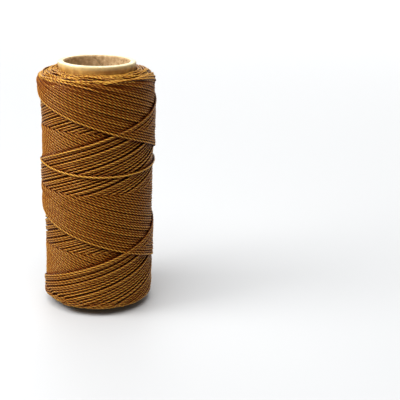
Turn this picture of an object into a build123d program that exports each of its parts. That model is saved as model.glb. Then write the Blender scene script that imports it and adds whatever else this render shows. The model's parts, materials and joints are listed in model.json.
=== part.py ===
"""Waxed thread spool: a spiral-wound paper tube with a cross-wound package of waxed thread on it.

Frame: millimetres, +Z up along the tube's axis, origin at the middle of the tube's lower end,
which is the ring that the spool stands on.
"""

import os
from math import pi

from build123d import *

# --- the paper tube ---------------------------------------------------------
tube_length = 101.8
bore_radius = 13.04
liner_thickness = 0.40  # inner ply, grey chipboard
board_thickness = 0.50  # each of the plies that give the tube its strength
board_plies = 4
wrap_thickness = 0.16  # outer ply, smooth parchment paper
strip_width = 58.0  # every ply is a paper strip of this width, wound in a helix
seam_gap = 0.35  # between one turn of a strip and the next

# --- the thread -------------------------------------------------------------
thread_diameter = 1.0
package_low = 3.0  # height of the winding's lower end face
package_high = 99.2
package_radius_low = 22.55  # the package is a little fatter towards its upper end
package_radius_high = 23.45
shoulder_low = 4.0  # rounding of the package's two outer edges
shoulder_high = 3.0
first_layers_radius = 18.1
middle_layers_radius = 20.6
start_end_length = 32.0  # the thread's first end lies along the tube, under the first turns
start_end_flattening = 0.08
finish_turn_height = 61.3  # the last turn goes round the waist
finish_turn_tilt = 3.7  # degrees, lower in front
finish_turn_bedding = 0.3  # how far the tight last turn sinks between the threads under it

board_radius = bore_radius + liner_thickness + board_plies * board_thickness
tube_radius = board_radius + wrap_thickness
seam_step = 360 / (board_plies + 2)  # degrees from one ply's seam to the next one's


def wind_ply(inner, outer, seam_angle):
    """One ply of the tube: a paper strip wound in a helix, with a narrow seam between its turns."""
    mean_radius = (inner + outer) / 2
    wound_share = strip_width / (2 * pi * mean_radius)
    pitch = strip_width / (1 - wound_share**2) ** 0.5
    overrun = 3.0
    with BuildPart() as ply:
        with BuildSketch(Plane.XY):
            Circle(outer)
            Circle(inner, mode=Mode.SUBTRACT)
        extrude(amount=tube_length)
        with BuildLine() as seam:
            Helix(pitch, tube_length + 2 * overrun, mean_radius, center=(0, 0, -overrun))
        with BuildSketch(Plane(origin=seam.line @ 0, x_dir=(1, 0, 0), z_dir=seam.line % 0)):
            Rectangle(3 * (outer - inner), seam_gap)
        sweep(path=seam.line, is_frenet=True, mode=Mode.SUBTRACT)
    ply.part = ply.part.rotate(Axis.Z, seam_angle)
    return ply


def package_outline():
    """Half of the wound package's cross section, from the tube's surface to its rounded edges."""
    with BuildSketch(Plane.XZ) as outline:
        with BuildLine():
            Polyline(
                (tube_radius, package_low),
                (package_radius_low, package_low),
                (package_radius_high, package_high),
                (tube_radius, package_high),
                close=True,
            )
        make_face()
        lower_corner = outline.vertices().sort_by(Axis.Y)[:2].sort_by(Axis.X)[-1]
        fillet(lower_corner, shoulder_low)
        upper_corner = outline.vertices().sort_by(Axis.Y)[-2:].sort_by(Axis.X)[-1]
        fillet(upper_corner, shoulder_high)
    return outline.sketch


def wind_layers(inner, outer, bedded=None):
    """The turns of thread between two radii, which close round a bedded piece if there is one."""
    with BuildPart() as layers:
        add(package_outline())
        revolve(axis=Axis.Z)
        with BuildSketch(Plane.XY):
            Circle(outer)
            Circle(inner, mode=Mode.SUBTRACT)
        extrude(amount=tube_length, mode=Mode.INTERSECT)
        if bedded:
            add(bedded.part, mode=Mode.SUBTRACT)
    return layers


def save(piece, name):
    """Label a finished piece and write its STEP file."""
    piece.part.label = name
    export_step(piece.part, f"parts/{name}.step")


os.makedirs("parts", exist_ok=True)

# --- the tube's plies, from the bore outwards ---
save(wind_ply(bore_radius, bore_radius + liner_thickness, 0), "tube_inner_liner")
for number in range(1, board_plies + 1):
    ply_radius = bore_radius + liner_thickness + number * board_thickness
    board_ply = wind_ply(ply_radius - board_thickness, ply_radius, number * seam_step)
    save(board_ply, f"tube_board_ply_{number}")
save(wind_ply(board_radius, tube_radius, (board_plies + 1) * seam_step), "tube_outer_wrap")

# --- the thread's first end, laid along the tube and pressed a little flat against it ---
with BuildPart() as thread_start_end:
    with BuildSketch(Plane.XY.offset(package_low)):
        with Locations((0, tube_radius + thread_diameter / 2 - start_end_flattening)):
            Circle(thread_diameter / 2)
        Circle(tube_radius, mode=Mode.SUBTRACT)
    extrude(amount=start_end_length)
save(thread_start_end, "thread_start_end")

# --- the last turn, pulled tight round the waist ---
waist_share = (finish_turn_height - package_low) / (package_high - package_low)
waist_radius = package_radius_low + waist_share * (package_radius_high - package_radius_low)
turn_radius = waist_radius + thread_diameter / 2 - finish_turn_bedding
turn_plane = Plane(origin=(0, 0, finish_turn_height)).rotated((finish_turn_tilt, 0, 0))
with BuildPart(turn_plane) as thread_finish_turn:
    Torus(turn_radius, thread_diameter / 2)
save(thread_finish_turn, "thread_finish_turn")

# --- the wound thread between them, in three bands from the tube outwards ---
save(wind_layers(tube_radius, first_layers_radius, thread_start_end), "thread_first_layers")
save(wind_layers(first_layers_radius, middle_layers_radius), "thread_middle_layers")
outermost_radius = package_radius_high + thread_diameter
save(wind_layers(middle_layers_radius, outermost_radius, thread_finish_turn), "thread_outer_layers")
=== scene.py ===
import json
import math

import bmesh
import bpy
import numpy as np
from mathutils import Matrix, Vector


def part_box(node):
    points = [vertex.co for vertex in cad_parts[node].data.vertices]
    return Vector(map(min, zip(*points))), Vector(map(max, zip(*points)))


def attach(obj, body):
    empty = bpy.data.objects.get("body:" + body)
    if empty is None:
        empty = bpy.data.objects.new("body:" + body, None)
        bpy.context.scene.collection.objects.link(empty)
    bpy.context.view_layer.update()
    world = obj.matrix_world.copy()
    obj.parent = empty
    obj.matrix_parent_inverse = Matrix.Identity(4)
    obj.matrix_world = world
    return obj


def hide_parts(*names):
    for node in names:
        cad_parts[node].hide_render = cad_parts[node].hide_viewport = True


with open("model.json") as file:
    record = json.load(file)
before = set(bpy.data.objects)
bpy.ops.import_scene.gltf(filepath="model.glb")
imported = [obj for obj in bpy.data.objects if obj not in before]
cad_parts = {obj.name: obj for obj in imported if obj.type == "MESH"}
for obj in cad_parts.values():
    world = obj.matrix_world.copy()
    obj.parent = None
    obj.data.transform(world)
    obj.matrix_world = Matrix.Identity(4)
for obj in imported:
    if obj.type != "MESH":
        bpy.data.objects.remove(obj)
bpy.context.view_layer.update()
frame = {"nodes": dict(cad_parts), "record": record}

# ---------------------------------------------------------------------------
# The bench and the view
# The spool stands on a plain pale laminate top under soft lamps, and is seen from a little above it.
# It stands left of the middle, with room beside it.
# ---------------------------------------------------------------------------
MM = 0.001


def linear(colour):
    """An sRGB hex colour as linear red, green, blue and alpha."""
    values = [int(colour[i : i + 2], 16) / 255 for i in (1, 3, 5)]
    return [v / 12.92 if v <= 0.04045 else ((v + 0.055) / 1.055) ** 2.4 for v in values] + [1.0]


def add_node(tree, kind, inputs=None, **settings):
    """A node with its settings. An input that is given a socket is linked to it."""
    node = tree.nodes.new(kind)
    for name, value in settings.items():
        setattr(node, name, value)
    for key, value in (inputs or {}).items():
        if isinstance(value, bpy.types.NodeSocket):
            tree.links.new(value, node.inputs[key])
        else:
            node.inputs[key].default_value = value
    return node


def new_material(name):
    """A material with an empty node tree, and that tree."""
    material = bpy.data.materials.new(name)
    material.use_nodes = True
    material.node_tree.nodes.clear()
    return material, material.node_tree


def add_piece(name, mesh):
    """An object for a finished mesh, at the origin."""
    piece = bpy.data.objects.new(name, mesh)
    bpy.context.scene.collection.objects.link(piece)
    return piece


VIEW_PLACE = Vector((42.5, -349.5, 159.2)) * MM
VIEW_PITCH = math.radians(18.19)
VIEW_ROLL = math.radians(1.56)
camera_data = bpy.data.cameras.new("camera")
camera_data.lens = 79.07
camera_data.sensor_width = 36.0
camera_data.clip_start = 0.01
camera = add_piece("camera", camera_data)
level = Matrix.Rotation(math.pi / 2 - VIEW_PITCH, 4, "X")
camera.matrix_world = Matrix.Translation(VIEW_PLACE) @ level @ Matrix.Rotation(VIEW_ROLL, 4, "Z")
bpy.context.scene.camera = camera
bpy.context.scene.view_settings.view_transform = "Standard"
bpy.context.scene.view_settings.look = "Medium High Contrast"

FLOOR_SIZE = 16.0
floor_mesh = bpy.data.meshes.new("bench_top")
half = FLOOR_SIZE / 2
corners = [(-half, -half, 0), (half, -half, 0), (half, half, 0), (-half, half, 0)]
floor_mesh.from_pydata(corners, [], [(0, 1, 2, 3)])
floor = add_piece("bench_top", floor_mesh)
bench_laminate, tree = new_material("white_laminate")
laminate_look = {"Base Color": linear("#C6C7C8"), "Roughness": 0.55}
surface = add_node(tree, "ShaderNodeBsdfPrincipled", laminate_look)
add_node(tree, "ShaderNodeOutputMaterial", {"Surface": surface.outputs[0]})
floor_mesh.materials.append(bench_laminate)

# The room's walls look nearly white, but they light the spool only a little: the lamps do that.
world = bpy.data.worlds.new("studio")
bpy.context.scene.world = world
world.use_nodes = True
tree = world.node_tree
tree.nodes.clear()
path = add_node(tree, "ShaderNodeLightPath")
fill = add_node(tree, "ShaderNodeBackground", {"Color": linear("#FFFFFF"), "Strength": 0.22})
wall = add_node(tree, "ShaderNodeBackground", {"Color": linear("#F6F7F7"), "Strength": 1.0})
seen_or_lit = {0: path.outputs["Is Camera Ray"], 1: fill.outputs[0], 2: wall.outputs[0]}
room = add_node(tree, "ShaderNodeMixShader", seen_or_lit)
add_node(tree, "ShaderNodeOutputWorld", {"Surface": room.outputs[0]})


def add_light(name, kind, place, toward, energy, **settings):
    """A lamp that shines from a place along a direction."""
    data = bpy.data.lights.new(name, kind)
    data.energy = energy
    for setting, value in settings.items():
        setattr(data, setting, value)
    lamp = add_piece(name, data)
    facing = Vector(toward).to_track_quat("-Z", "Y").to_matrix().to_4x4()
    lamp.matrix_world = Matrix.Translation(place) @ facing
    lamp.visible_camera = False


add_light("overhead", "SUN", (0, 0, 1), (0.13, 0.30, -0.95), 2.6, angle=math.radians(60))
panel = {"shape": "RECTANGLE", "size": 2.6, "size_y": 1.4}
add_light("lit_backdrop", "AREA", (0, 1.5, 0.8), (0, -1, -0.35), 14.0, **panel)
add_light("side_softbox", "AREA", (-0.48, -0.16, 0.44), (0.48, 0.14, -0.37), 1.6, size=0.35)
add_light("near_softbox", "AREA", (-0.13, -0.065, 0.15), (0.11, 0.05, -0.065), 0.08, size=0.06)

# ---------------------------------------------------------------------------
# The tube's plies
# Strips of grey chipboard and cream board, with smooth parchment paper outside, each wound in a
# helix and glued over the last, with its seam beside the one below. The ends are burnished round.
# ---------------------------------------------------------------------------
STRIP_WIDTH = 58.0 * MM
SEAM_GAP = 0.35 * MM
SEAM_START = -3.0 * MM
ROUND_RADIUS = 0.75 * MM  # of the tube's burnished rims
PLY_COLUMNS = 180  # steps round a strip
PLY_ROWS = 30  # steps along it, between its rounded ends
PLY_LAYERS = 3  # steps through it

bore_mount = next(m for m in frame["record"]["mounts"] if m["name"] == "tube_bore")
bore_radius = bore_mount["dims"]["r_mm"] * MM
tube_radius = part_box("tube_outer_wrap")[1].x
tube_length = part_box("tube_outer_wrap")[1].z


def rim_drop(radius):
    """How far the burnished rim stands below the tube's full length at a radius."""
    edge = min(radius - bore_radius, tube_radius - radius)
    inside = max(0.0, ROUND_RADIUS - edge)
    return ROUND_RADIUS - math.sqrt(max(0.0, ROUND_RADIUS**2 - inside**2))


def wound_ply(name, inner, outer, seam_angle):
    """A strip wound in a helix with a narrow seam, closed all round, with rounded ends."""
    around = 2 * math.pi * (inner + outer) / 2
    lean = math.asin(STRIP_WIDTH / around)
    pitch = STRIP_WIDTH / math.cos(lean)
    gap_turn = SEAM_GAP / math.sin(lean) / around
    end_rows = [share * ROUND_RADIUS for share in (0, 0.5, 1, 2)]
    middle = np.linspace(end_rows[-1], tube_length - end_rows[-1], PLY_ROWS)
    rows = [*end_rows[:-1], *middle, *[tube_length - h for h in end_rows[-2::-1]]]
    places = []
    for layer in range(PLY_LAYERS + 1):
        radius = inner + (outer - inner) * layer / PLY_LAYERS
        drop = rim_drop(radius)
        for height in rows:
            near_end = max(0.0, 1 - min(height, tube_length - height) / end_rows[-1])
            shift = drop * near_end * (1 if height < tube_length / 2 else -1)
            seam = seam_angle + 2 * math.pi * ((height - SEAM_START) / pitch + gap_turn / 2)
            for column in range(PLY_COLUMNS + 1):
                angle = seam + 2 * math.pi * (1 - gap_turn) * column / PLY_COLUMNS
                places.append((radius * math.cos(angle), radius * math.sin(angle), height + shift))
    row_count = len(rows)

    def at(layer, row, column):
        """A corner's number in the list of places."""
        return (layer * row_count + row) * (PLY_COLUMNS + 1) + column

    faces = []
    for row in range(row_count - 1):
        for column in range(PLY_COLUMNS):
            patch = [(row, column), (row + 1, column), (row + 1, column + 1), (row, column + 1)]
            faces.append([at(0, *spot) for spot in patch])
            faces.append([at(PLY_LAYERS, *spot) for spot in reversed(patch)])
    for layer in range(PLY_LAYERS):
        for column in range(PLY_COLUMNS):
            patch = [(layer, column), (layer, column + 1), (layer + 1, column + 1), (layer + 1, column)]
            faces.append([at(k, 0, c) for k, c in patch])
            faces.append([at(k, row_count - 1, c) for k, c in reversed(patch)])
        for row in range(row_count - 1):
            patch = [(layer, row), (layer + 1, row), (layer + 1, row + 1), (layer, row + 1)]
            faces.append([at(k, r, 0) for k, r in patch])
            faces.append([at(k, r, PLY_COLUMNS) for k, r in reversed(patch)])
    mesh = bpy.data.meshes.new(name)
    mesh.from_pydata(places, [], [face[::-1] for face in faces])
    work = bmesh.new()
    work.from_mesh(mesh)
    bmesh.ops.delete(work, geom=[v for v in work.verts if not v.link_faces], context="VERTS")
    bmesh.ops.recalc_face_normals(work, faces=work.faces)
    work.to_mesh(mesh)
    work.free()
    mesh.shade_smooth()
    mesh.set_sharp_from_angle(angle=math.radians(50))
    return add_piece(name, mesh)


def mix_colours(tree, share, first, second, blend="MIX"):
    """A share of the second colour over the first."""
    inputs = {"Factor": share, 6: first, 7: second}
    return add_node(tree, "ShaderNodeMix", inputs, data_type="RGBA", blend_type=blend).outputs[2]


def paper_material(name, pale, dark, speck, fibre_mm, roughness, end_tone=None):
    """Matted paper fibre: soft clouds of two tones, fine fibres and a few darker specks. Where an
    end tone is given, the colour fades most of the way to it over the last 2 mm at each of the tube's
    ends. The fibres are drawn several times coarser than real ones, which are about 0.03 mm wide.
    Paper's IOR is about 1.5."""
    material, tree = new_material(name)
    place = add_node(tree, "ShaderNodeTexCoord").outputs["Object"]
    cloud_size = {"Vector": place, "Scale": 1 / (6 * fibre_mm * MM), "Detail": 4.0}
    clouds = add_node(tree, "ShaderNodeTexNoise", cloud_size)
    fibre_size = {"Vector": place, "Scale": 1 / (fibre_mm * MM), "Detail": 3.0, "Distortion": 1.5}
    fibres = add_node(tree, "ShaderNodeTexNoise", fibre_size)
    contrast = {"Value": clouds.outputs["Fac"], "From Min": 0.32, "From Max": 0.68}
    patches = add_node(tree, "ShaderNodeMapRange", contrast)
    colour = mix_colours(tree, patches.outputs[0], linear(dark), linear(pale))
    spots = add_node(tree, "ShaderNodeTexVoronoi", {"Vector": place, "Scale": 1 / (2.2 * MM)})
    spot_size = {"Value": spots.outputs["Distance"], "From Min": 0.05, "From Max": 0.14}
    spot_share = add_node(tree, "ShaderNodeMapRange", {**spot_size, "To Min": 0.8, "To Max": 0.0})
    colour = mix_colours(tree, spot_share.outputs[0], colour, linear(speck))
    # paler towards the tube's ends, over their last 2 mm
    if end_tone:
        end = tube_length / 2
        height = add_node(tree, "ShaderNodeSeparateXYZ", {0: place}).outputs["Z"]
        middle = add_node(tree, "ShaderNodeMath", {0: height, 1: end}, operation="SUBTRACT")
        apart = add_node(tree, "ShaderNodeMath", {0: middle.outputs[0]}, operation="ABSOLUTE")
        end_fade_range = {"Value": apart.outputs[0], "From Min": end - 2.0 * MM, "From Max": end, "To Max": 0.9}
        end_fade = add_node(tree, "ShaderNodeMapRange", end_fade_range)
        colour = mix_colours(tree, end_fade.outputs[0], colour, linear(end_tone))
    relief = {"Height": fibres.outputs["Fac"], "Distance": 0.05 * MM, "Strength": 0.6}
    bump = add_node(tree, "ShaderNodeBump", relief)
    look = {"Base Color": colour, "Roughness": roughness, "IOR": 1.5, "Normal": bump.outputs[0]}
    surface = add_node(tree, "ShaderNodeBsdfPrincipled", look)
    add_node(tree, "ShaderNodeOutputMaterial", {"Surface": surface.outputs[0]})
    return material


# grey board from waste paper inside, bleached board in the middle, waxed smooth paper outside
grey_chipboard = paper_material("grey_chipboard", "#D8BA90", "#AA8A62", "#4E3A26", 0.22, 0.85)
cream_board = paper_material("cream_board", "#F0E6CA", "#DECEA4", "#C4A878", 0.30, 0.75)
parchment_tones = ("#C89C54", "#94642A", "#8A602C")
parchment_paper = paper_material("parchment_paper", *parchment_tones, 0.50, 0.45, end_tone="#DCCA98")

liner_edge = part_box("tube_inner_liner")[1].x
board_nodes = [n for n in sorted(frame["nodes"]) if n.startswith("tube_board_ply_")]
ply_edges = [liner_edge, *[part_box(n)[1].x for n in board_nodes], tube_radius]
ply_nodes = ["tube_inner_liner", *board_nodes, "tube_outer_wrap"]
ply_finishes = [grey_chipboard, *[cream_board] * len(board_nodes), parchment_paper]
inner_edge = bore_radius
for number, (node, outer_edge) in enumerate(zip(ply_nodes, ply_edges)):
    seam_angle = 2 * math.pi * number / len(ply_nodes)
    ply = wound_ply(node.replace("tube_", "wound_"), inner_edge, outer_edge, seam_angle)
    ply.data.materials.append(ply_finishes[number])
    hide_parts(node)
    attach(ply, "root")
    inner_edge = outer_edge

# ---------------------------------------------------------------------------
# The thread as the winder lays it
# One waxed thread runs up and down the turning tube at a steady slope. Each pair of strokes starts
# a little behind the last, so neighbours lie side by side, and it is pulled tight over what is below.
# ---------------------------------------------------------------------------
THREAD = 1.0  # its diameter; this section works in millimetres
DOWN_TURNS, UP_TURNS = 2.08, 1.92  # of the tube, for a stroke down and a stroke up
PAIRS = 184  # of strokes
PAIR_LAG = math.radians(8.05)  # how far behind the last pair each pair starts
LAST_TOP_TURN = math.radians(-251.0)  # where the last stroke down begins
STROKE_LOW, STROKE_HIGH = 2.2, 101.3  # where the straight strokes would meet
STROKE_POINTS = 400
FULL_RADIUS = 23.3  # of the package
LOW_ROUNDING, TOP_ROUNDING = 4.0, 5.0  # of its shoulders
LOW_OVERHANG = 1.0  # how much lower than the package's solid the turn-backs reach
FLAT = 0.13  # how much a thread is pressed into those it crosses
PILE_ROOM = 0.45  # in diameters: what piles up higher than this is pressed down ...
PILE_SHARE = 0.3  # ... to this share of its height, so piled threads run into each other
PAPER_DENT = 0.08  # how far the thread sinks into the tube's paper
TURN_SPREAD = 2.0  # the turn-backs end within this height ...
COMMON_SHARE = 0.15  # ... and most often at this share of it
NEAT_PAIRS, NEAT_SHARE = 30, 0.35  # so many last pairs keep within this share of it at the top
TOP_PAIRS = 16  # so many last pairs lie on top
DOWN_STRAY, TOP_DOWN_STRAY = 0.05, 0.10  # how far strokes down stray to a side, and those on top
UP_STRAY, TOP_UP_STRAY = 0.20, 0.04  # the same for strokes up
SLIP = 1.6  # a turn-back may slide this far in towards the tube
SLIP_REACH = 2.6  # how far round the slide goes, in times the turn-back's depth over its slope
STEP = 0.1  # between the thread's points

core_radius = tube_radius / MM
low_node, high_node = (Vector(corner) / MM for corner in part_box("thread_first_layers"))
package_low, package_high = low_node.z, high_node.z
COLUMNS = 1440  # cells round the package
CELL = 0.1  # and up it
FIELD_MARGIN = 1.5
FIELD_LOW = package_low - FIELD_MARGIN
FIELD_ROWS = int((package_high + FIELD_MARGIN - FIELD_LOW) / CELL)
laid = np.full((COLUMNS, FIELD_ROWS), core_radius)  # how far out the thread reaches so far
across = np.linspace(-0.5, 0.5, 11) * THREAD
crown = np.sqrt(np.maximum((0.5 * THREAD) ** 2 - across**2, 0))
MIDDLE_FROM, MIDDLE_TO = 20, 80  # heights between which the package's radius is read
middle_rows = slice(int((MIDDLE_FROM - FIELD_LOW) / CELL), int((MIDDLE_TO - FIELD_LOW) / CELL))
random = np.random.default_rng(11)
THINNED = 4  # points to a group, when the thread is pulled tight


def rest_tight(distance, support, bend):
    """The lowest taut line over the supports, on a surface that curves away under it. It goes over
    the supports' upper convex hull, once the curve is taken out."""
    away = np.cumsum(np.cumsum(bend)) * (distance[1] - distance[0]) ** 2
    level = support - away
    every = np.arange(0, len(level), THINNED)
    every[-1] = len(level) - 1
    height = np.maximum.reduceat(level, every)
    held = []
    for i in range(len(height)):
        while len(held) >= 2:
            a, b = held[-2], held[-1]
            rise_b = (height[b] - height[a]) * (every[i] - every[a])
            rise_i = (height[i] - height[a]) * (every[b] - every[a])
            if rise_b > rise_i:
                break
            held.pop()
        held.append(i)
    return np.interp(distance, distance[every[held]], height[held]) + away


def lay_thread(angle, height, radius, flat=FLAT, slips=()):
    """Lays a stretch of thread on what is there, and returns points along it as angle, height and
    radius. Each slip is where a turn-back slides in towards the tube: its angle, reach and depth."""
    pieces = np.hypot(np.diff(angle) * radius, np.diff(height))
    along = np.concatenate([[0], np.cumsum(pieces)])
    distance = np.linspace(0, along[-1], int(along[-1] / STEP))
    angle = np.interp(distance, along, angle)
    height = np.interp(distance, along, height)
    run, rise = np.gradient(angle * radius), np.gradient(height)
    length = np.hypot(run, rise)
    run, rise = run / length, rise / length
    side_angle = angle[:, None] - rise[:, None] * across / radius
    side_height = height[:, None] + run[:, None] * across
    column = np.floor(side_angle / (2 * math.pi) * COLUMNS).astype(int) % COLUMNS
    row = np.clip(np.rint((side_height - FIELD_LOW) / CELL).astype(int), 0, FIELD_ROWS - 1)
    support = (laid[column, row] + crown).max(1) - flat
    limit = radius + PILE_ROOM * THREAD
    support = np.where(support > limit, limit + PILE_SHARE * (support - limit), support)
    centre = rest_tight(distance, support, run**2 / radius)
    for place, reach, depth in slips:
        centre = centre - depth * np.clip(1 - ((angle - place) / reach) ** 2, 0, 1) ** 2
    centre = np.maximum(centre, core_radius + THREAD / 2 - PAPER_DENT)
    np.maximum.at(laid, (column, row), centre[:, None] + crown)
    return np.stack([angle, height, centre], 1)


def shoulder(radius, rounding):
    """How much shorter the package is at a radius, round its shoulder."""
    over = np.clip(radius - (FULL_RADIUS - rounding), 0, 0.999 * rounding)
    return rounding - math.sqrt(rounding**2 - over**2)


def turn_short(room, spread):
    """How far short of the stroke's end a turn-back turns: the room there, and up to the spread."""
    return room + random.triangular(0, COMMON_SHARE, 1) * spread


def ease_corner(height, distance, corner, short, slope):
    """Rounds a corner of the zigzag with a parabola that meets the stroke's slope."""
    half = 2 * short / slope
    eased = short * (1 + (distance / half) ** 2)
    eased = STROKE_LOW + eased if corner == STROKE_LOW else STROKE_HIGH - eased
    return np.where(distance < half, eased, height)


FADE = 20  # drift fades out over one part in this many, at each end of a stroke
DRIFT_SWING = 9  # radians of slow swing along a stroke


def steady_ends():
    """One along a stroke, fading to nothing at its turn-backs."""
    share = np.linspace(0, 1, STROKE_POINTS)
    return np.clip(np.minimum(share, 1 - share) * FADE, 0, 1)


def unevenness(amount):
    """A slow drift to either side along a stroke."""
    swing = DRIFT_SWING * np.linspace(0, 1, STROKE_POINTS) + random.uniform(0, 6)
    drift = random.normal(0, amount) + random.normal(0, 0.4 * amount) * np.sin(swing)
    return drift * steady_ends()


JOIN_POINTS = 60


def join_on(run):
    """The run without its first point, brought to the last run's end over a few millimetres."""
    if runs:
        run[:JOIN_POINTS, 2] += (runs[-1][-1, 2] - run[0, 2]) * np.linspace(1, 0, JOIN_POINTS)
    return run[1:]


WAIST, WAIST_DIP, WAIST_LOWEST = 61.85, 2.1, math.radians(-75)


def waist(angle):
    """The height of the last turn, which sits lower in front."""
    return WAIST - WAIST_DIP * np.cos(angle - WAIST_LOWEST)


# how far the last strokes up stray, so that their bands part and close
LAST_RISERS = [-0.3, 0.0, 0.3, 0.2, 0.3, 0.35, 0.1, 0.6, 0.65, 0.7, 0.6, 0.4, 0.6, 0.35, 0.5, 0.15, 0.0]
LEAVE_BELOW = 0.9  # the last riser leaves its slope this far under the waist

runs = []
start = LAST_TOP_TURN + PAIR_LAG * PAIRS
pair_turns = 2 * math.pi * (DOWN_TURNS + UP_TURNS)
down_share = DOWN_TURNS / (DOWN_TURNS + UP_TURNS)
turn = pair_turns - PAIR_LAG
top_short, top_slip = 3.0, 0.5  # of the first turn-back
span = STROKE_HIGH - STROKE_LOW
for pair in range(PAIRS + 1):
    radius = laid[::7, middle_rows].mean()
    down_slope = span / (2 * math.pi * DOWN_TURNS * radius)
    up_slope = span / (2 * math.pi * UP_TURNS * radius)
    slope = (down_slope + up_slope) / 2
    low_room = package_low - LOW_OVERHANG + THREAD / 2 + shoulder(radius, LOW_ROUNDING) - STROKE_LOW
    top_room = STROKE_HIGH - package_high + THREAD / 2 + shoulder(radius, TOP_ROUNDING)
    low_short = turn_short(low_room, 0.5 * TURN_SPREAD)
    top_spread = TURN_SPREAD if pair < PAIRS - NEAT_PAIRS else NEAT_SHARE * TURN_SPREAD
    next_short = turn_short(top_room, top_spread)
    down_way = np.linspace(0, span / down_slope, STROKE_POINTS)
    up_way = np.linspace(0, span / up_slope, STROKE_POINTS)
    down_drift = unevenness(DOWN_STRAY if pair < PAIRS - TOP_PAIRS else TOP_DOWN_STRAY)
    down = STROKE_HIGH - down_slope * down_way + down_drift
    down = ease_corner(down, down_way, STROKE_HIGH, top_short, down_slope)
    down = ease_corner(down, down_way[::-1], STROKE_LOW, low_short, down_slope)
    up_drift = unevenness(UP_STRAY)
    if pair > PAIRS - len(LAST_RISERS):
        up_drift = unevenness(TOP_UP_STRAY) + LAST_RISERS[pair - PAIRS - 1] * steady_ends()
    up = STROKE_LOW + up_slope * up_way + up_drift
    up = ease_corner(up, up_way, STROKE_LOW, low_short, up_slope)
    up = ease_corner(up, up_way[::-1], STROKE_HIGH, next_short, up_slope)
    down_angle = np.linspace(0, down_share, STROKE_POINTS)
    up_angle = np.linspace(down_share, 1, STROKE_POINTS)[1:]
    angle = start + turn * np.concatenate([down_angle, up_angle])
    height = np.concatenate([down, up[1:]])
    if pair == PAIRS:
        over = up > waist(angle[STROKE_POINTS - 1 :]) - LEAVE_BELOW
        leave = STROKE_POINTS + np.flatnonzero(over)[0]
        angle, height = angle[: leave + 1], height[: leave + 1]
    low_slip, next_slip = random.uniform(0, (0.5 * SLIP, SLIP))
    slips = [
        (start, SLIP_REACH * top_short / slope / radius, top_slip),
        (start + turn * down_share, SLIP_REACH * low_short / slope / radius, low_slip),
        (start + turn, SLIP_REACH * next_short / slope / radius, next_slip),
    ]
    runs.append(join_on(lay_thread(angle, height, radius, slips=slips)))
    top_short, top_slip = next_short, next_slip
    start += turn

# The last riser levels out at the waist, goes round once over everything, and tucks its end in.
FINISH_TURN_SHARE = 0.997  # of a full turn
FINISH_FLAT = -0.3  # it isn't pressed in, and stands off a little
LEVEL_OUT = 8  # how soon it levels out
TUCK_DOWN, TUCK_DOWN_OVER = 0.9, 9  # its end goes down by this, over this length
TUCK_IN, TUCK_IN_OVER = 1.1, 6  # and in towards the tube
last_turn_start, behind = angle[-1], height[-1] - waist(angle[-1])
level = np.linspace(0, 2 * math.pi * FINISH_TURN_SHARE, 240)
way = level * radius
eased = (behind + (up_slope + behind / LEVEL_OUT) * way) * np.exp(-way / LEVEL_OUT)
tuck = TUCK_DOWN * np.clip(1 - (way[-1] - way) / TUCK_DOWN_OVER, 0, 1) ** 2
finish_angle = last_turn_start + level
runs.append(join_on(lay_thread(finish_angle, waist(finish_angle) + eased - tuck, radius, FINISH_FLAT)))
thread = np.concatenate(runs)
from_end = (thread[-1, 0] - thread[:, 0]) * radius
thread[:, 2] -= TUCK_IN * np.clip(1 - from_end / TUCK_IN_OVER, 0, 1) ** 2

# The package is a little slimmer low down than high up.
ROW_HEIGHTS = FIELD_LOW + CELL * np.arange(FIELD_ROWS)
WANTED_HEIGHTS = [3, 6, 13, 28, 38, 45, 55, 66, 76, 84, 90, 96, 99]
WANTED_RADII = [22.6, 22.6, 22.6, 22.45, 22.45, 22.8, 22.85, 23.0, 23.0, 23.1, 23.4, 23.5, 23.5]
SMOOTHING = 40  # rows to either side
HOLLOWS = 0.25  # how far the mean reach is under the threads' tops
END_ZONE = 5  # nearer to its ends than this, the package is stretched as it is there
reach = np.pad(laid.mean(0), SMOOTHING, "edge")
reach = np.convolve(reach, np.ones(2 * SMOOTHING + 1) / (2 * SMOOTHING + 1), "valid")
wanted = np.interp(ROW_HEIGHTS, WANTED_HEIGHTS, WANTED_RADII)
stretch = (wanted - core_radius - HOLLOWS) / (reach - core_radius)
inner_heights = np.clip(ROW_HEIGHTS, package_low + END_ZONE, package_high - END_ZONE)
stretch = np.interp(inner_heights, ROW_HEIGHTS, stretch)
thread[:, 2] = core_radius + (thread[:, 2] - core_radius) * np.interp(thread[:, 1], ROW_HEIGHTS, stretch)
laid = core_radius + (laid - core_radius) * stretch

# Which stretches show: those near the surface, or near an end face.
BURIED = 1.5  # deeper than this, a thread is left out
FACE_ZONE = 8  # only threads this near to an end can show in its face
FAR = 99
EVERY = 5  # a ring of faces for each fifth point
LONGEST = 2000  # rings in one unbroken stretch
SHORTEST = 40  # points
MARGIN_POINTS = 21  # a stretch goes on under its cover by half as many points
RINGS = 100  # cells outward from the tube
top_face = np.full((COLUMNS, RINGS), -1e9)
low_face = np.full((COLUMNS, RINGS), 1e9)
column = np.floor(thread[:, 0] / (2 * math.pi) * COLUMNS).astype(int) % COLUMNS
row = np.clip(np.rint((thread[:, 1] - FIELD_LOW) / CELL).astype(int), 0, FIELD_ROWS - 1)
ring = np.clip(((thread[:, 2] - core_radius) / CELL).astype(int), 0, RINGS - 1)
for side in range(-4, 5):
    near = np.clip(ring + side, 0, RINGS - 1)
    np.maximum.at(top_face, (column, near), thread[:, 1])
    np.minimum.at(low_face, (column, near), thread[:, 1])
depths = np.stack(
    [
        laid[column, row] - thread[:, 2] - THREAD / 2,
        top_face[column, ring] - thread[:, 1] + FAR * (thread[:, 1] < package_high - FACE_ZONE),
        thread[:, 1] - low_face[column, ring] + FAR * (thread[:, 1] > package_low + FACE_ZONE),
    ]
)
shows = (depths < BURIED).any(0)
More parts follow.
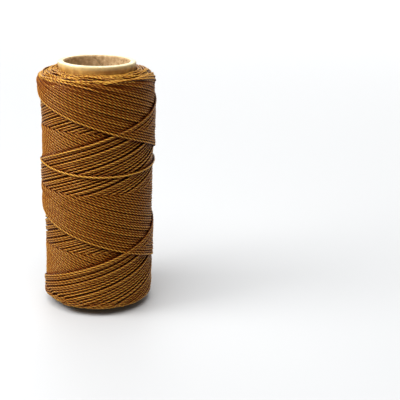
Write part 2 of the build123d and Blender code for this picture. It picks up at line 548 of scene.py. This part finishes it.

# Which side of each point is open, as a direction: the thread's colour gets painted shade on its sides
# that face away from it. Its length is how free the thread lies, and scales the painted light in its
# colour: more where it stands proud of what is around it, and less in a hollow; in an end face it is
# one.
WINDOW = 24  # cells across, for what is around
# the scale of the painted light, from a thread in a hollow to one standing proud
LEAST_PAINTED_LIGHT, MOST_PAINTED_LIGHT = 0.48, 1.2
FINISH_PAINTED_LIGHT = 1.35  # painted light: the last turn lies on top of everything, and its colour is drawn brighter
openness = np.exp(-depths / (0.5 * THREAD))
sideways, endways = openness[0], openness[1] - openness[2]
painted_light_side = np.stack([sideways * np.cos(thread[:, 0]), sideways * np.sin(thread[:, 0]), endways], 1)
painted_light_side /= np.linalg.norm(painted_light_side, axis=1, keepdims=True) + 1e-6
wide = np.cumsum(np.cumsum(np.pad(laid, WINDOW // 2, "wrap"), 0), 1)
far, near = slice(WINDOW, None), slice(None, -WINDOW)
around_mean = (wide[far, far] - wide[near, far] - wide[far, near] + wide[near, near]) / WINDOW**2
proud = thread[:, 2] + THREAD / 2 - around_mean[column, row]
painted_light_scale = np.clip(0.80 + 0.75 * (proud - 0.2), LEAST_PAINTED_LIGHT, MOST_PAINTED_LIGHT)
in_face = openness[1:].max(0) > 0.2
painted_light_side *= np.where(in_face, 1.0, painted_light_scale)[:, None]
so_far = STEP * np.arange(len(thread))[:, None]
thread = np.concatenate([thread, painted_light_side, so_far], 1)

grown = np.convolve(shows, np.ones(MARGIN_POINTS), "same") > 0
split = np.flatnonzero(thread[:, 0] > last_turn_start)[0]
edges = np.flatnonzero(np.diff(np.concatenate([[0], grown[: split + 1].astype(int), [0]])))
segments = []
for first, last in zip(edges[::2], edges[1::2]):
    if last - first > SHORTEST:
        stretch = thread[first:last:EVERY]
        cuts = range(0, len(stretch) - 1, LONGEST)
        segments += [stretch[cut : cut + LONGEST + 1] for cut in cuts]
finish_turn = thread[split::EVERY]
finish_turn[:, 3:6] *= FINISH_PAINTED_LIGHT / np.linalg.norm(finish_turn[:, 3:6], axis=1, keepdims=True)

# ---------------------------------------------------------------------------
# The thread's three plies
# Three polyester yarns, golden brown, twisted to the right (Z) and dipped in wax. Each shows as a
# rounded crest that winds round the thread once in about six diameters.
# ---------------------------------------------------------------------------
LAY_LENGTH = 5.8 * MM
GROOVE = 0.25  # how deep the grooves between plies are, as a share of the thread's radius
SIDES = 9  # faces round the thread, three for each ply
STREAKS_ROUND, STREAKS_ALONG = 6.0, 600.0  # round the thread, and along a metre of it
CREST_PAINTED_LIGHT, GROOVE_PAINTED_LIGHT = 0.80, 0.22  # painted light and shade of the plies: a crest gets both, and a groove the second alone


def waxed_thread_material():
    """Golden brown polyester under wax, with painted shade in the grooves between plies and on the sides
    that neighbours shade, painted light on its crests and where it stands proud, and the soft shine of
    wax, whose IOR is about 1.44. The streaks are bundles of filaments, drawn coarser than the filaments
    themselves, which are about 0.02 mm thick."""
    material, tree = new_material("waxed_polyester_thread")
    place = add_node(tree, "ShaderNodeTexCoord").outputs["Object"]
    crest = add_node(tree, "ShaderNodeAttribute", attribute_name="crest").outputs["Fac"]
    round_thread = add_node(tree, "ShaderNodeAttribute", attribute_name="round_thread").outputs["Vector"]
    along = add_node(tree, "ShaderNodeAttribute", attribute_name="along_thread").outputs["Fac"]
    painted_light_side = add_node(tree, "ShaderNodeAttribute", attribute_name="painted_light_side").outputs["Vector"]

    # streaks along the fibres, and wax that lies unevenly over some millimetres
    girth = {0: round_thread, 1: (STREAKS_ROUND, STREAKS_ROUND, 0.0)}
    girth = add_node(tree, "ShaderNodeVectorMath", girth, operation="MULTIPLY")
    along_place = add_node(tree, "ShaderNodeCombineXYZ", {"Z": along})
    streak_place = {0: along_place.outputs[0], 1: (0, 0, STREAKS_ALONG), 2: girth.outputs[0]}
    streak_place = add_node(tree, "ShaderNodeVectorMath", streak_place, operation="MULTIPLY_ADD")
    streak_size = {"Vector": streak_place.outputs[0], "Scale": 1.0, "Detail": 3.0}
    streaks = add_node(tree, "ShaderNodeTexNoise", streak_size)
    wax_size = {"Vector": place, "Scale": 1 / (5 * MM), "Detail": 2.0}
    wax = add_node(tree, "ShaderNodeTexNoise", wax_size)
    body = mix_colours(tree, wax.outputs["Fac"], linear("#E6B044"), linear("#FFE078"))
    fibres = mix_colours(tree, streaks.outputs["Fac"], linear("#BC8028"), body)

    # painted light and shade in the colour: how much light would reach a spot between its neighbours
    facing = add_node(tree, "ShaderNodeNewGeometry").outputs["Normal"]
    outward = add_node(tree, "ShaderNodeVectorMath", {0: facing, 1: painted_light_side}, operation="DOT_PRODUCT")
    painted_light_scale = add_node(tree, "ShaderNodeVectorMath", {0: painted_light_side}, operation="LENGTH").outputs["Value"]
    cosine = {0: outward.outputs["Value"], 1: painted_light_scale}
    cosine = add_node(tree, "ShaderNodeMath", cosine, operation="DIVIDE")
    flank = {"Value": cosine.outputs[0], "From Min": 0.30, "From Max": 1.0}
    flank = add_node(tree, "ShaderNodeMapRange", flank)
    lobe = {0: crest, 1: CREST_PAINTED_LIGHT, 2: GROOVE_PAINTED_LIGHT}
    lobe = add_node(tree, "ShaderNodeMath", lobe, operation="MULTIPLY_ADD")
    ridge = {0: lobe.outputs[0], 1: flank.outputs[0]}
    ridge = add_node(tree, "ShaderNodeMath", ridge, operation="MULTIPLY")
    painted_light = add_node(tree, "ShaderNodeMath", {0: ridge.outputs[0], 1: painted_light_scale}, operation="MULTIPLY")
    # painted shade to painted light: dark brown where little light would reach, a mid brown, then full
    # colour
    shade = add_node(tree, "ShaderNodeValToRGB", {"Fac": painted_light.outputs[0]})
    shade.color_ramp.elements[0].color = linear("#3E1E0A")
    shade.color_ramp.elements[1].color = linear("#FFFFFF")
    shade.color_ramp.elements.new(0.5).color = linear("#98622A")
    colour = mix_colours(tree, 1.0, shade.outputs["Color"], fibres, "MULTIPLY")

    relief = {"Height": streaks.outputs["Fac"], "Distance": 0.03 * MM, "Strength": 0.5}
    bump = add_node(tree, "ShaderNodeBump", relief)
    look = {"Base Color": colour, "Roughness": 0.30, "IOR": 1.44, "Normal": bump.outputs[0]}
    look["Specular Tint"] = linear("#F6D8A0")
    surface = add_node(tree, "ShaderNodeBsdfPrincipled", look)
    add_node(tree, "ShaderNodeOutputMaterial", {"Surface": surface.outputs[0]})
    return material


waxed_thread = waxed_thread_material()

CREST_SIZE = 1.07  # a crest's radius over the thread's, as flat faces cut its curve short
EDGE_CUT = 0.04  # the same for the grooves' depth


def twisted_thread_tree():
    """Geometry Nodes: three twisted plies along every chain of points."""
    tree = bpy.data.node_groups.new("twisted_thread", "GeometryNodeTree")
    tree.interface.new_socket("Geometry", in_out="INPUT", socket_type="NodeSocketGeometry")
    for name, value in (("Diameter", THREAD * MM), ("Lay length", LAY_LENGTH), ("Groove depth", GROOVE)):
        socket = tree.interface.new_socket(name, in_out="INPUT", socket_type="NodeSocketFloat")
        socket.default_value = value
    tree.interface.new_socket("Geometry", in_out="OUTPUT", socket_type="NodeSocketGeometry")
    given = add_node(tree, "NodeGroupInput")

    def calculate(operation, *values):
        """The result of one step of arithmetic."""
        inputs = dict(enumerate(values))
        return add_node(tree, "ShaderNodeMath", inputs, operation=operation).outputs[0]

    def mark(geometry, name, value, kind):
        """The geometry with a value stored at each of its points."""
        inputs = {"Geometry": geometry, "Name": name, "Value": value}
        settings = {"data_type": kind, "domain": "POINT"}
        return add_node(tree, "GeometryNodeStoreNamedAttribute", inputs, **settings).outputs[0]

    # the line turns about itself once in each lay length
    line = add_node(tree, "GeometryNodeMeshToCurve", {"Mesh": given.outputs["Geometry"]})
    length = add_node(tree, "GeometryNodeInputNamedAttribute", {"Name": "along_thread"})
    turns = calculate("DIVIDE", length.outputs["Attribute"], given.outputs["Lay length"])
    twist = {"Curve": line.outputs[0], "Tilt": calculate("MULTIPLY", turns, 2 * math.pi)}
    twisted = add_node(tree, "GeometryNodeSetCurveTilt", twist)

    # the section is a circle whose every third point lies in a groove
    radius = calculate("MULTIPLY", given.outputs["Diameter"], 0.5)
    round_section = {"Resolution": SIDES, "Radius": radius}
    circle = add_node(tree, "GeometryNodeCurvePrimitiveCircle", round_section, mode="RADIUS")
    index = add_node(tree, "GeometryNodeInputIndex").outputs[0]
    groove = calculate("LESS_THAN", calculate("MODULO", index, 3.0), 0.5)
    depth = calculate("ADD", given.outputs["Groove depth"], EDGE_CUT)
    size = calculate("SUBTRACT", CREST_SIZE, calculate("MULTIPLY", groove, depth))
    position = add_node(tree, "GeometryNodeInputPosition").outputs[0]
    lobed = add_node(tree, "ShaderNodeVectorMath", {0: position, "Scale": size}, operation="SCALE")
    section = {"Geometry": circle.outputs[0], "Position": lobed.outputs[0]}
    section = add_node(tree, "GeometryNodeSetPosition", section).outputs[0]
    section = mark(section, "crest", calculate("SUBTRACT", 1.0, groove), "FLOAT")
    outward = add_node(tree, "ShaderNodeVectorMath", {0: position}, operation="NORMALIZE")
    section = mark(section, "round_thread", outward.outputs[0], "FLOAT_VECTOR")

    swept = {"Curve": twisted.outputs[0], "Profile Curve": section, "Fill Caps": True}
    plies = add_node(tree, "GeometryNodeCurveToMesh", swept)
    smooth = add_node(tree, "GeometryNodeSetShadeSmooth", {"Geometry": plies.outputs[0]})
    real = add_node(tree, "GeometryNodeRealizeInstances", {"Geometry": smooth.outputs[0]})
    coat = {"Geometry": real.outputs[0], "Material": waxed_thread}
    coated = add_node(tree, "GeometryNodeSetMaterial", coat)
    add_node(tree, "NodeGroupOutput", {"Geometry": coated.outputs[0]})
    return tree


thread_tree = twisted_thread_tree()


def place_in_space(run):
    """Angle, height and radius as points in metres."""
    angle, height, radius = run.T[:3]
    return np.stack([radius * np.cos(angle), radius * np.sin(angle), height], 1) * MM


def read_mark(mesh, name, kind, width):
    """A named attribute of a mesh's points."""
    values = np.empty(len(mesh.vertices) * width, np.float32)
    mesh.attributes[name].data.foreach_get(kind, values)
    return values.reshape(-1, width)


RING_OVER_GIRTH = 0.14  # a ring of faces is this much of the thread's girth long
ROW_EDGE = 0.06  # of a row's height in the flat map, left free at its foot and head


def lay_flat(mesh):
    """A flat map of the thread: rows of rings with the faces of each ring across, and the cut ends
    in a last row of their own."""
    corners = np.empty(len(mesh.loops), np.int32)
    mesh.loops.foreach_get("vertex_index", corners)
    starts = np.empty(len(mesh.polygons), np.int32)
    mesh.polygons.foreach_get("loop_start", starts)
    sizes = np.diff(np.append(starts, len(corners)))
    along = read_mark(mesh, "along_thread", "value", 1)[corners, 0]
    across = read_mark(mesh, "round_thread", "vector", 3)[corners]
    turned = np.arctan2(across[:, 1], across[:, 0]) / (2 * math.pi / SIDES)
    side = np.rint(turned).astype(int) % SIDES
    spread = np.maximum.reduceat(side, starts) - np.minimum.reduceat(side, starts)
    side = np.where((side == 0) & np.repeat(spread > 1, sizes), SIDES, side)
    first = np.minimum.reduceat(along, starts)
    ends = np.maximum.reduceat(along, starts) == first
    step = np.repeat(np.unique(first, return_inverse=True)[1], sizes)
    rows = math.ceil(math.sqrt(RING_OVER_GIRTH * (step.max() + 1)))
    per_row = math.ceil((step.max() + 1) / rows)
    u = step % per_row + (along > np.repeat(first, sizes))
    v = step // per_row + ROW_EDGE + (1 - 2 * ROW_EDGE) * (1 - side / SIDES)
    end, end_number = np.repeat(ends, sizes), np.repeat(np.cumsum(ends) - 1, sizes)
    u = np.where(end, end_number % per_row + 0.5 + 0.4 * across[:, 0], u)
    v = np.where(end, rows + 0.5 + 0.4 * across[:, 1], v)
    places = np.stack([u / per_row, v / (rows + 1)], 1).astype(np.float32)
    mesh.uv_layers.new(name="OFBake").data.foreach_set("uv", places.ravel())


def twist_thread(name, stretches):
    """A piece of twisted thread along each stretch of points."""
    points, edges, count = [], [], 0
    for stretch in stretches:
        points.append(place_in_space(stretch))
        chain = np.arange(count, count + len(stretch))
        edges.append(np.stack([chain[:-1], chain[1:]], 1))
        count += len(stretch)
    lines = bpy.data.meshes.new(name + "_line")
    lines.from_pydata(np.concatenate(points).tolist(), np.concatenate(edges).tolist(), [])
    marks = np.concatenate(stretches)
    painted_light_side = lines.attributes.new("painted_light_side", "FLOAT_VECTOR", "POINT")
    painted_light_side.data.foreach_set("vector", marks[:, 3:6].ravel())
    along = lines.attributes.new("along_thread", "FLOAT", "POINT")
    along.data.foreach_set("value", marks[:, 6] * MM)
    piece = add_piece(name, lines)
    piece.modifiers.new("twisted_thread", "NODES").node_group = thread_tree
    depsgraph = bpy.context.evaluated_depsgraph_get()
    ready = piece.evaluated_get(depsgraph)
    mesh = bpy.data.meshes.new_from_object(ready, preserve_all_data_layers=True, depsgraph=depsgraph)
    piece.modifiers.clear()
    piece.data = mesh
    bpy.data.meshes.remove(lines)
    mesh.name = name
    lay_flat(mesh)
    return piece


RINGS_PER_PIECE = 10800  # of 18 triangles each
groups, size = [[]], 0
for stretch in segments:
    if size + len(stretch) > RINGS_PER_PIECE:
        groups.append([])
        size = 0
    groups[-1].append(stretch)
    size += len(stretch)
for number, group in enumerate(groups, 1):
    piece = twist_thread(f"wound_thread_{number}", group)
    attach(piece, "root")
    if number == len(groups):
        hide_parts("thread_outer_layers")
last_piece = twist_thread("last_turn_thread", [finish_turn])
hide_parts("thread_finish_turn")
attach(last_piece, "root")

# ---------------------------------------------------------------------------
# The buried turns
# What lies under the turns that show, down to the tube: thread beside thread, painted dark brown as
# thread in deep shade, which only shows as the dark between them.
# ---------------------------------------------------------------------------
BASE_COLUMNS = 240
UNDER = 1.6  # how far below the thread that shows
END_UNDER = 1.45  # the same at the end faces
END_RINGS = range(8, 51, 6)  # of the end faces' cells, outward from the tube
TUBE_GAP = 0.05
LOW_STEP, TOP_STEP, ROW_STEP = 1.2, 1.1, 1.0  # from an end face's edge to the side, and along it
EVEN_OUT = 12  # rows to either side
around = np.linspace(0, 2 * math.pi, BASE_COLUMNS, endpoint=False)
low_lie = np.median(low_face, axis=0) + END_UNDER
top_lie = np.median(top_face, axis=0) - END_UNDER
side_reach = laid.reshape(BASE_COLUMNS, COLUMNS // BASE_COLUMNS, FIELD_ROWS).mean(1)
evenly = np.ones(2 * EVEN_OUT + 1) / (2 * EVEN_OUT + 1)
side_reach = [np.convolve(np.pad(line, EVEN_OUT, "edge"), evenly, "valid") for line in side_reach]
side_reach = np.stack(side_reach)
outline = [(core_radius + TUBE_GAP, low_lie[END_RINGS[0]])]
outline += [(core_radius + CELL * ring, low_lie[ring]) for ring in END_RINGS]
side_low, side_high = low_lie[END_RINGS[-1]] + LOW_STEP, top_lie[END_RINGS[-1]] - TOP_STEP
for z in np.arange(side_low, side_high, ROW_STEP):
    outline.append((side_reach[:, int((z - FIELD_LOW) / CELL)] - UNDER, z))
outline += [(core_radius + CELL * ring, top_lie[ring]) for ring in reversed(END_RINGS)]
outline.append((core_radius + TUBE_GAP, top_lie[END_RINGS[0]]))
places, faces = [], []
for number, (radii, z) in enumerate(outline):
    radii = np.broadcast_to(radii, BASE_COLUMNS)
    places += [(r * math.cos(a) * MM, r * math.sin(a) * MM, z * MM) for r, a in zip(radii, around)]
    here, there = number * BASE_COLUMNS, (number + 1) % len(outline) * BASE_COLUMNS
    for column in range(BASE_COLUMNS):
        beside = (column + 1) % BASE_COLUMNS
        faces.append((here + column, here + beside, there + beside, there + column))
base_mesh = bpy.data.meshes.new("buried_thread")
base_mesh.from_pydata(places, [], faces)
base_mesh.shade_smooth()
buried = add_piece("buried_thread", base_mesh)
WAVE_CYCLE = math.pi / 10  # the length of one wave of the wave texture, at a scale of one


def shaded_thread_material():
    """Waxed thread with painted deep shade: ridges one thread apart, with painted shade between them,
    and uneven wax.
    """
    material, tree = new_material("waxed_thread_in_shade")
    place = add_node(tree, "ShaderNodeTexCoord").outputs["Object"]
    ridge_size = {"Vector": place, "Scale": WAVE_CYCLE / (THREAD * MM), "Distortion": 1.5, "Detail": 2.0}
    ridges = add_node(tree, "ShaderNodeTexWave", ridge_size, bands_direction="Z")
    wax_size = {"Vector": place, "Scale": 1 / (3 * MM), "Detail": 3.0}
    wax = add_node(tree, "ShaderNodeTexNoise", wax_size)
    # painted shade: the thread's brown darkened as in deep shade, with uneven wax, and darker still
    # between the ridges
    wax_in_painted_shade = mix_colours(tree, wax.outputs["Fac"], linear("#5E2E10"), linear("#8A4E1C"))
    colour = mix_colours(tree, ridges.outputs["Fac"], linear("#4A220C"), wax_in_painted_shade)
    relief = {"Height": ridges.outputs["Fac"], "Distance": 0.3 * MM, "Strength": 0.6}
    bump = add_node(tree, "ShaderNodeBump", relief)
    look = {"Base Color": colour, "Roughness": 0.6, "IOR": 1.44, "Normal": bump.outputs[0]}
    surface = add_node(tree, "ShaderNodeBsdfPrincipled", look)
    add_node(tree, "ShaderNodeOutputMaterial", {"Surface": surface.outputs[0]})
    return material


base_mesh.materials.append(shaded_thread_material())
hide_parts("thread_first_layers", "thread_middle_layers", "thread_start_end")
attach(buried, "root")
